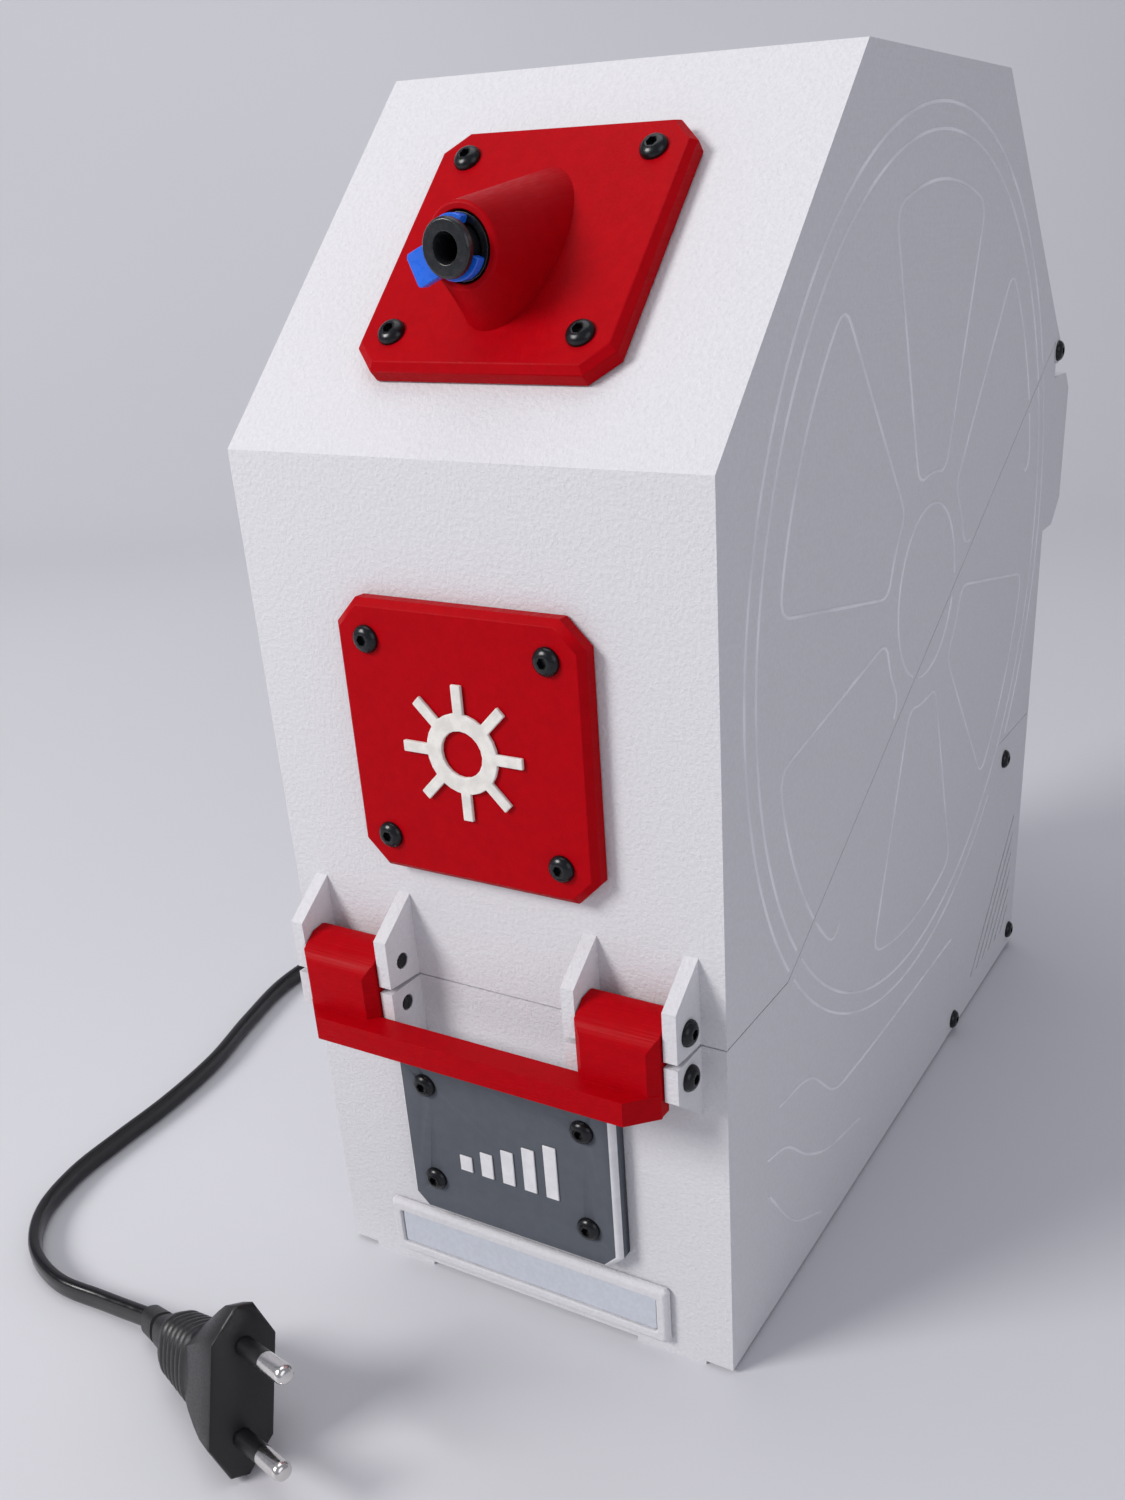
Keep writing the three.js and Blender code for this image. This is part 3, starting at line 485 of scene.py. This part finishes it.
feed = Build(SLOPE)
feed.loft([cut_corners(PLATE_W, PLATE_CORNER, PLATE_GAP),
           cut_corners(PLATE_W, PLATE_CORNER, PLATE_T - PLATE_BEVEL),
           cut_corners(PLATE_W - 2 * PLATE_BEVEL, PLATE_CORNER - 0.6, PLATE_T)])
root = [SLOPE(Vector((ROOT_HALF_W * math.cos(a), ROOT_HALF_L * math.sin(a) + ROOT_RISE, ROOT_Z)))
        for a in (2 * math.pi * i / CONE_SIDES for i in range(CONE_SIDES))]
cone = Build()
cone.points, cone.faces = feed.points, feed.faces
cone.loft([root, upright_ring(NOSE_R, NOSE_Y + NOSE_EASE), upright_ring(NOSE_R - NOSE_EASE, NOSE_Y),
           upright_ring(BORE_R, NOSE_Y), upright_ring(BORE_R, NOSE_Y + BORE_DEPTH)])
feed_piece = piece("feed_cone_plate", cone.points, cone.faces, RED_FACE, "lid", ("feed_plate",),
                   30.0)
bevel(feed_piece, 0.15, 1, 40.0)

CLIP_TURN = math.radians(22.62)
CLIP_Y = (7.0, 9.0)
CLIP_R = 5.3
CLIP_INNER = 3.9
TAB_HALF = 2.9


def clip_point(radius, angle, y):
    return at(radius * math.cos(angle), y, AXIS_Z + radius * math.sin(angle))


clip = Build()
sweep = [math.pi + CLIP_TURN + math.radians(step) for step in range(-138, 139, 6)]
clip_section = ((CLIP_INNER, CLIP_Y[0]), (CLIP_R, CLIP_Y[0]), (CLIP_R, CLIP_Y[1]), (CLIP_INNER, CLIP_Y[1]))
clip.loft([[clip_point(r, a, y) for r, y in clip_section] for a in sweep])
out = Vector((-math.cos(CLIP_TURN), -math.sin(CLIP_TURN)))
wide = Vector((out.y, -out.x))
clip.loft([[at(p.x, y, AXIS_Z + p.y) for p, y in (
    (out * r - wide * half, CLIP_Y[0]), (out * r + wide * half, CLIP_Y[0]),
    (out * r + wide * half, CLIP_Y[1]), (out * r - wide * half, CLIP_Y[1]))]
    for r, half in ((4.6, TAB_HALF), (9.2, TAB_HALF), (9.7, TAB_HALF - 0.5))])
clip_piece = piece("collet_clip", clip.points, clip.faces, CLIP, "clip", ("fitting_clip",), 30.0)
bevel(clip_piece, 0.15, 1)

# ------------------------------------------------------------------ plain level bars on the number plate
BAR_W = 3.2
BAR_PITCH = 5.6
BAR_FOOT = -7.0
bars = Build(NUMBER)
for index in range(5):
    x0 = -12.5 + index * BAR_PITCH
    top = BAR_FOOT + 4.0 + index * 2.4
    low, high = PLATE_T + 0.02, PLATE_T + 0.4
    outline = [(x0, BAR_FOOT), (x0 + BAR_W, BAR_FOOT), (x0 + BAR_W, top), (x0, top)]
    bars.loft([[Vector((x, y, z)) for x, y in outline] for z in (low, high)])
bevel(piece("number_level_bars", bars.points, bars.faces, BAND, "base"), 0.12, 1)

# ------------------------------------------------------------------ raised lines on both sides
LINE_W = 0.7
LINE_H = 0.22
SPOOL = Vector((109.3, 143.35))
COVER_REGION = [(147, 0), (215.5, 0), (215.5, 80), (184, 80), (147, 26)]


def on_circle(radius, start, stop, step=2.0):
    count = max(2, round(abs(math.radians(stop - start)) * radius / step))
    angles = (math.radians(start + (stop - start) * i / count) for i in range(count + 1))
    return [SPOOL + Vector((math.cos(a), math.sin(a))) * radius for a in angles]


def rounded(outline, radius, steps=4):
    """A closed outline with its marked corners rounded; (point, is_corner) pairs."""
    out = []
    count = len(outline)
    for i, (point, is_corner) in enumerate(outline):
        if not is_corner:
            out.append(point)
            continue
        before, after = outline[i - 1][0], outline[(i + 1) % count][0]
        a = point + (before - point).normalized() * min(radius, (before - point).length)
        b = point + (after - point).normalized() * min(radius, (after - point).length)
        for step in range(steps + 1):
            t = step / steps
            out.append(a * (1 - t) ** 2 + point * 2 * t * (1 - t) + b * t ** 2)
    return out


def window(start, stop, inner=27.0, outer=86.0, corner=5.0):
    """One opening of the spool's flange: two arcs joined by radial sides."""
    trim_in, trim_out = (math.degrees(corner / radius) for radius in (inner, outer))
    near = on_circle(inner, start + trim_in, stop - trim_in)
    far = on_circle(outer, stop - trim_out, start + trim_out)
    places = ((inner, start), (inner, stop), (outer, stop), (outer, start))
    knees = [(on_circle(r, a, a + 1)[0], True) for r, a in places]
    outline = [knees[0]] + [(p, False) for p in near] + knees[1:3] + [(p, False) for p in far] + [knees[3]]
    return rounded(outline, corner)


def wave(points):
    return [Vector((p.x, p.y)) for p in spline([(y, z, 0) for y, z in points], 2.0)]


def seam_height(y):
    return SEAM_Z + max(0.0, y - SEAM_Y) * SEAM_RISE


def inside_polygon(point, outline):
    inside = False
    for (y0, z0), (y1, z1) in zip(outline, outline[1:] + outline[:1]):
        if (z0 > point.y) != (z1 > point.y) and point.x < (y1 - y0) * (point.y - z0) / (z1 - z0) + y0:
            inside = not inside
    return inside


def home(point, side):
    """The body that carries a line at this place on a side, or None where there is no room for it."""
    above = point.y - seam_height(point.x)
    if abs(above) < 0.9:
        return None
    near = [point + Vector(d) for d in ((0.8, 0), (-0.8, 0), (0, 0.8), (0, -0.8))]
    if side > 0 and any(inside_polygon(p, COVER_REGION) for p in near):
        return None
    return "lid" if above > 0 else "base"


def side_lines():
    closed = [on_circle(100, 0, 360)[:-1], on_circle(95.1, 0, 360)[:-1], on_circle(20, 0, 360)[:-1]]
    closed += [window(start, start + 40) for start in range(10, 370, 60)]
    waves = [wave(points) for points in (
        [(24, 53), (41, 50), (56, 38), (70, 36), (145, 34)],
        [(18, 43), (28, 40), (40, 30), (52, 23.5), (74, 18)],
        [(19, 33), (32, 17), (49, 7)])]
    build = {"lid": Build(), "base": Build()}
    for side in (-1, 1):
        for line, loops in [(line, True) for line in closed] + [(line, False) for line in waves]:
            line = line + line[:1] if loops else line
            run, owner = [], None
            for point in line + [None]:
                place = home(point, side) if point is not None else None
                if place != owner or place is None:
                    if owner and len(run) > 2:
                        ribbon(build[owner], run, side)
                    run = []
                owner = place
                if place:
                    run.append(point)
    for body, made in build.items():
        # The side lines carry the paler colour, a painted highlight.
        piece(f"side_lines_{body}", made.points, made.faces, SIDE_RIB_PAINTED_HIGHLIGHT, body, (), 50.0)


def ribbon(build, run, side):
    rings = []
    for i, point in enumerate(run):
        ahead = (run[min(i + 1, len(run) - 1)] - run[max(i - 1, 0)]).normalized()
        across = Vector((-ahead.y, ahead.x)) * LINE_W / 2
        profile = ((1.0, 0.01), (0.7, LINE_H), (-0.7, LINE_H), (-1.0, 0.01))
        rings.append([at(side * (HALF + h), *(point + across * w)) for w, h in profile])
    build.loft(rings)


side_lines()

# ------------------------------------------------------------------ camera, light, floor
def vector_basis(yaw, pitch, roll):
    forward = Vector((-math.sin(yaw) * math.cos(pitch), math.cos(yaw) * math.cos(pitch), -math.sin(pitch)))
    level = Vector((math.cos(yaw), math.sin(yaw), 0))
    up = level.cross(forward)
    right = math.cos(roll) * level + math.sin(roll) * up
    top = -math.sin(roll) * level + math.cos(roll) * up
    return Matrix((right, top, -forward)).transposed().to_4x4()


camera_data = bpy.data.cameras.new("camera")
camera_data.sensor_width = 36
camera_data.lens = 33.42
camera_data.shift_x = -0.0688
camera_data.shift_y = 0.0823
camera_data.clip_start = 0.01
camera = bpy.data.objects.new("camera", camera_data)
camera.matrix_world = Matrix.Translation((0.15148, -0.30930, 0.22683)) @ vector_basis(0.508, 0.445, -0.04)
bpy.context.scene.collection.objects.link(camera)
bpy.context.scene.camera = camera


def area_light(name, place, aim, size, power, colour=(1, 1, 1)):
    data = bpy.data.lights.new(name, "AREA")
    data.shape = "DISK"
    data.size = size
    data.energy = power
    data.color = colour
    obj = bpy.data.objects.new(name, data)
    obj.location = place
    obj.rotation_euler = (Vector(aim) - Vector(place)).to_track_quat("-Z", "Y").to_euler()
    bpy.context.scene.collection.objects.link(obj)


area_light("key", (-0.95, -1.25, 1.05), (0, 0, 0.12), 0.7, 23.0, (1.0, 0.985, 0.97))
area_light("top", (-0.2, 0.1, 1.6), (0, 0, 0.1), 1.2, 6.0)
area_light("right_fill", (1.35, -0.75, 0.75), (0.1, 0, 0.05), 1.2, 4.0, (0.93, 0.95, 1.0))
world = bpy.data.worlds.new("studio")
world.use_nodes = True
world.node_tree.nodes["Background"].inputs["Color"].default_value = (0.84, 0.85, 0.95, 1)
world.node_tree.nodes["Background"].inputs["Strength"].default_value = 0.36
bpy.context.scene.world = world
bpy.context.scene.view_settings.view_transform = "Standard"


def backdrop():
    """A pale sheet: floor in front, swept up into a wall behind."""
    reach, back, bend, tall, steps = 3.0, 0.75, 0.5, 3.0, 16
    line = [(-2.5, 0.0), (back, 0.0)]
    line += [(back + bend * math.sin(a), bend - bend * math.cos(a))
             for a in (math.pi / 2 * s / steps for s in range(1, steps + 1))]
    line.append((back + bend, tall))
    points = [(x, y, z) for y, z in line for x in (-reach, reach)]
    turn = Matrix.Rotation(0.5, 4, "Z")
    points = [turn @ Vector(p) for p in points]
    faces = [(2 * i, 2 * i + 1, 2 * i + 3, 2 * i + 2) for i in range(len(line) - 1)]
    mesh = bpy.data.meshes.new("backdrop")
    mesh.from_pydata([tuple(p) for p in points], [], faces)
    mesh.shade_smooth()
    nodes = Nodes("backdrop_paper")
    tone = nodes.noise(nodes.coords(), 1.6, 1.0)
    mesh.materials.append(nodes.set(
        Base_Color=nodes.ramp(tone, (0.60, 0.60, 0.64), (0.66, 0.66, 0.69), 0.2, 0.8),
        Roughness=0.55,
    ))
    obj = bpy.data.objects.new("backdrop", mesh)
    bpy.context.scene.collection.objects.link(obj)


backdrop()

# ------------------------------------------------------------------ mains lead
CORD_W = 5.4
CORD_T = 3.2
EXIT_X = 10.0
EXIT_Z = 14.0
FLAT = CORD_T / 2 + 0.1 - FOOT
EDGE = CORD_W / 2 + 0.1 - FOOT
COIL_Y = 285.0
COIL_R = 31.0
COIL_PITCH = 5.5
COIL_OUT = COIL_R + COIL_PITCH
COIL_IN = COIL_R - COIL_PITCH
COIL_X = EXIT_X - COIL_OUT
LAYER = CORD_T + 0.08
LEAD_IN = [(EXIT_X, 243.2, EXIT_Z), (EXIT_X, 247, 13), (EXIT_X, 252, 9), (EXIT_X, 257, 4.2),
           (EXIT_X, 261, 1.6), (EXIT_X, 266, FLAT)]
LEAD_OUT = [(-63, 270, FLAT + 5), (-63.6, 258, FLAT + 3.2), (-65, 246, EDGE), (-75, 229, EDGE),
            (-91, 205, EDGE), (-109, 181, EDGE), (-127, 157, EDGE), (-142, 134, EDGE), (-151, 110, EDGE),
            (-152, 86, EDGE), (-146, 62, EDGE), (-139, 40, EDGE), (-135.5, 18, EDGE), (-134.5, 0, EDGE),
            (-133, -16, EDGE), (-127.5, -31, EDGE), (-117, -41.5, EDGE), (-103, -46.5, EDGE),
            (-88, -46.4, EDGE + 0.2), (-72.7, -46.6, 3.2)]
TURN_FROM = 258.0               # the lead turns from its flat onto its edge between these two
TURN_TO = 226.0                 # distances behind the front face
LEAD_STEP = 2.6


def coil_points():
    """(turns, radius, layer) knots, wound outward and inward between the layers."""
    knots = [(0.0, COIL_OUT, 0), (2.0, COIL_IN, 0), (2.25, COIL_IN, 1), (4.25, COIL_OUT, 1),
             (4.5, COIL_OUT, 2), (5.5, COIL_OUT, 2)]
    per_turn = 16
    points = []
    for step in range(1, int(5.5 * per_turn) - 0):
        turns = step / per_turn
        for (t0, r0, l0), (t1, r1, l1) in zip(knots, knots[1:]):
            if t0 <= turns <= t1:
                share = (turns - t0) / (t1 - t0)
                radius = r0 + (r1 - r0) * share
                layer = l0 + (l1 - l0) * share
                break
        angle = 2 * math.pi * turns
        points.append((COIL_X + radius * math.cos(angle), COIL_Y + radius * math.sin(angle),
                       FLAT + layer * LAYER))
    return points


def flat_section(width, thick, count=20):
    """Cross section of the flat lead: rounded ends and slightly hollow wide faces."""
    ring = []
    for i in range(count):
        a = 2 * math.pi * (i + 0.5) / count
        waist = 1 - 0.10 * math.exp(-(math.cos(a) / 0.35) ** 2)
        ring.append((width / 2 * math.cos(a),
                     thick / 2 * abs(math.sin(a)) ** 0.7 * math.copysign(waist, math.sin(a))))
    return ring


def mains_lead(pieces):
    route = spline(LEAD_IN + coil_points() + LEAD_OUT, LEAD_STEP)
    section = flat_section(CORD_W, CORD_T)
    last_turn = len(spline(LEAD_IN + coil_points(), LEAD_STEP))
    build = Build()
    rings = []
    up = Vector((0, 0, 1))
    for i, point in enumerate(route):
        ahead = (route[min(i + 1, len(route) - 1)] - route[max(i - 1, 0)]).normalized()
        across = ahead.cross(up).normalized()
        lift = across.cross(ahead)
        share = min(1.0, max(0.0, (TURN_FROM - point.y) / (TURN_FROM - TURN_TO))) if i > last_turn else 0.0
        turn = math.pi / 2 * share * share * (3 - 2 * share)
        wide = across * math.cos(turn) + lift * math.sin(turn)
        thin = lift * math.cos(turn) - across * math.sin(turn)
        rings.append([at(*(point + wide * u + thin * v)) for u, v in section])
    build.loft(rings)
    obj = piece("mains_lead", build.points, build.faces, PVC, "base",
                ("lead_from_case", "lead_coil", "lead_to_plug"), 60.0)


# ------------------------------------------------------------------ plug
PLUG_FACE = Vector((-26.6, -62.2, 16.2))
PLUG_AXIS = Vector((0.914, -0.312, 0.26)).normalized()
PLUG_UP = Vector((-0.13, 0.382, 0.915))
PLUG_THICK = PLUG_UP.cross(PLUG_AXIS).normalized()
PLUG_TALL = PLUG_AXIS.cross(PLUG_THICK).normalized()
PIN_PITCH = 18.6
PIN_R = 2.0


def plug_place(p):
    """Local x through the plug's thickness, y along the pin pair, z out of its face."""
    return at(*(PLUG_FACE + PLUG_THICK * p[0] + PLUG_TALL * p[1] + PLUG_AXIS * p[2]))


def hexagon_ring(half_thick, half_tall, z, steps=6):
    """Flat sides with shoulders that taper to the narrow ends."""
    quarter = [(half_thick, 0.6 * half_tall), (0.28 * half_thick, half_tall)]
    outline = quarter + [(-x, y) for x, y in reversed(quarter)]
    outline += [(-x, -y) for x, y in outline]
    outline = [Vector((x, y, z)) for x, y in outline]
    sides = zip(outline, outline[1:] + outline[:1])
    return [a.lerp(b, step / steps) for a, b in sides for step in range(steps)]


def oval_ring(a, b, z, count=48, power=0.75):
    ring = []
    for i in range(count):
        angle = 2 * math.pi * i / count
        x, y = math.cos(angle), math.sin(angle)
        ring.append(Vector((a * math.copysign(abs(x) ** power, x), b * math.copysign(abs(y) ** power, y), z)))
    return ring


def plug():
    body = Build(plug_place)
    body.loft([hexagon_ring(5.0, 8.0, -18.0), hexagon_ring(6.0, 11.2, -13.0), hexagon_ring(6.5, 14.2, -8.6),
               hexagon_ring(6.75, 16.3, -5.2),
               hexagon_ring(6.85, 17.5, -0.9), hexagon_ring(6.7, 17.35, -0.35), hexagon_ring(6.2, 16.9, 0.0)])
    grip = [oval_ring(2.0, 3.0, -49.7), oval_ring(2.5, 3.3, -49.4)]
    # Two notched segments of strain relief, then the grip with ribs across its sides.
    for z, a, b in ((-43.0, 2.9, 3.5), (-42.6, 2.3, 3.0), (-41.4, 2.3, 3.0), (-41.0, 3.1, 3.7),
                    (-35.0, 3.5, 4.1), (-34.6, 2.7, 3.3), (-33.4, 2.7, 3.3), (-33.0, 4.9, 6.6)):
        grip.append(oval_ring(a, b, z))
    for rib in range(6):
        z = -31.6 + rib * 2.6
        swell = 0.16 * rib
        for a, b, rise in ((5.0, 6.9, 0.0), (5.35, 7.25, 0.5), (5.35, 7.25, 1.4), (5.0, 6.9, 1.9)):
            grip.append(oval_ring(a + swell, b + 2 * swell, z + rise))
    grip.append(oval_ring(5.8, 8.6, -14.0))
    body.loft(grip)
    shell = piece("plug_moulding", body.points, body.faces, PLUG, "base", ("plug_body",), 38.0)
    pieces = [shell]
    for word, side in (("lower", -1), ("upper", 1)):
        pin = Build(lambda p, s=side: plug_place((p[0], p[1] + s * PIN_PITCH / 2, p[2])))
        contact = ((PIN_R, 10.1), (PIN_R, 17.6), (1.85, 18.3), (1.45, 18.8), (0.8, 19.0))
        pin.loft([circle(r, 24, z) for r, z in contact])
        pieces.append(piece(f"plug_contact_{word}", pin.points, pin.faces, NICKEL, "base",
                            (f"plug_pin_{word}",), 50.0))
        sleeve = Build(lambda p, s=side: plug_place((p[0], p[1] + s * PIN_PITCH / 2, p[2])))
        sleeve.loft([circle(r, 24, z) for r, z in ((PIN_R, 0.01), (PIN_R, 10.0), (1.8, 10.08))])
        pieces.append(piece(f"plug_sleeve_{word}", sleeve.points, sleeve.faces, PLUG, "base"))
    return pieces




def coil_tie():
    """A strap looped round all the turns of the stored coil."""
    near, far = COIL_IN - CORD_W / 2 - 0.5, COIL_OUT + CORD_W / 2 + 0.5
    low, high = 0.35 - FOOT, FLAT + 2 * LAYER + CORD_T / 2 + 0.5
    ease = 1.2
    loop = [(near + ease, low), (far - ease, low), (far, low + ease), (far, high - ease),
            (far - ease, high), (near + ease, high), (near, high - ease), (near, low + ease)]
    middle = Vector(((near + far) / 2, (low + high) / 2))
    angle = math.radians(200)
    along = Vector((math.cos(angle), math.sin(angle), 0))
    side = Vector((-math.sin(angle), math.cos(angle), 0))
    rings = []
    for r, z in loop + loop[:1]:
        outward = (Vector((r, z)) - middle).normalized() * 0.3
        ring = []
        for grow, shift in ((-1, -2), (1, -2), (1, 2), (-1, 2)):
            p = Vector((COIL_X, COIL_Y, 0)) + along * (r + outward.x * grow) + side * shift
            ring.append(at(p.x, p.y, z + outward.y * grow))
        rings.append(ring)
    strap = Build().loft(rings, caps=(False, False))
    return piece("coil_tie", strap.points, strap.faces, PLUG, "base", (), 60.0)


plug_pieces = plug()
mains_lead(plug_pieces + [coil_tie()])
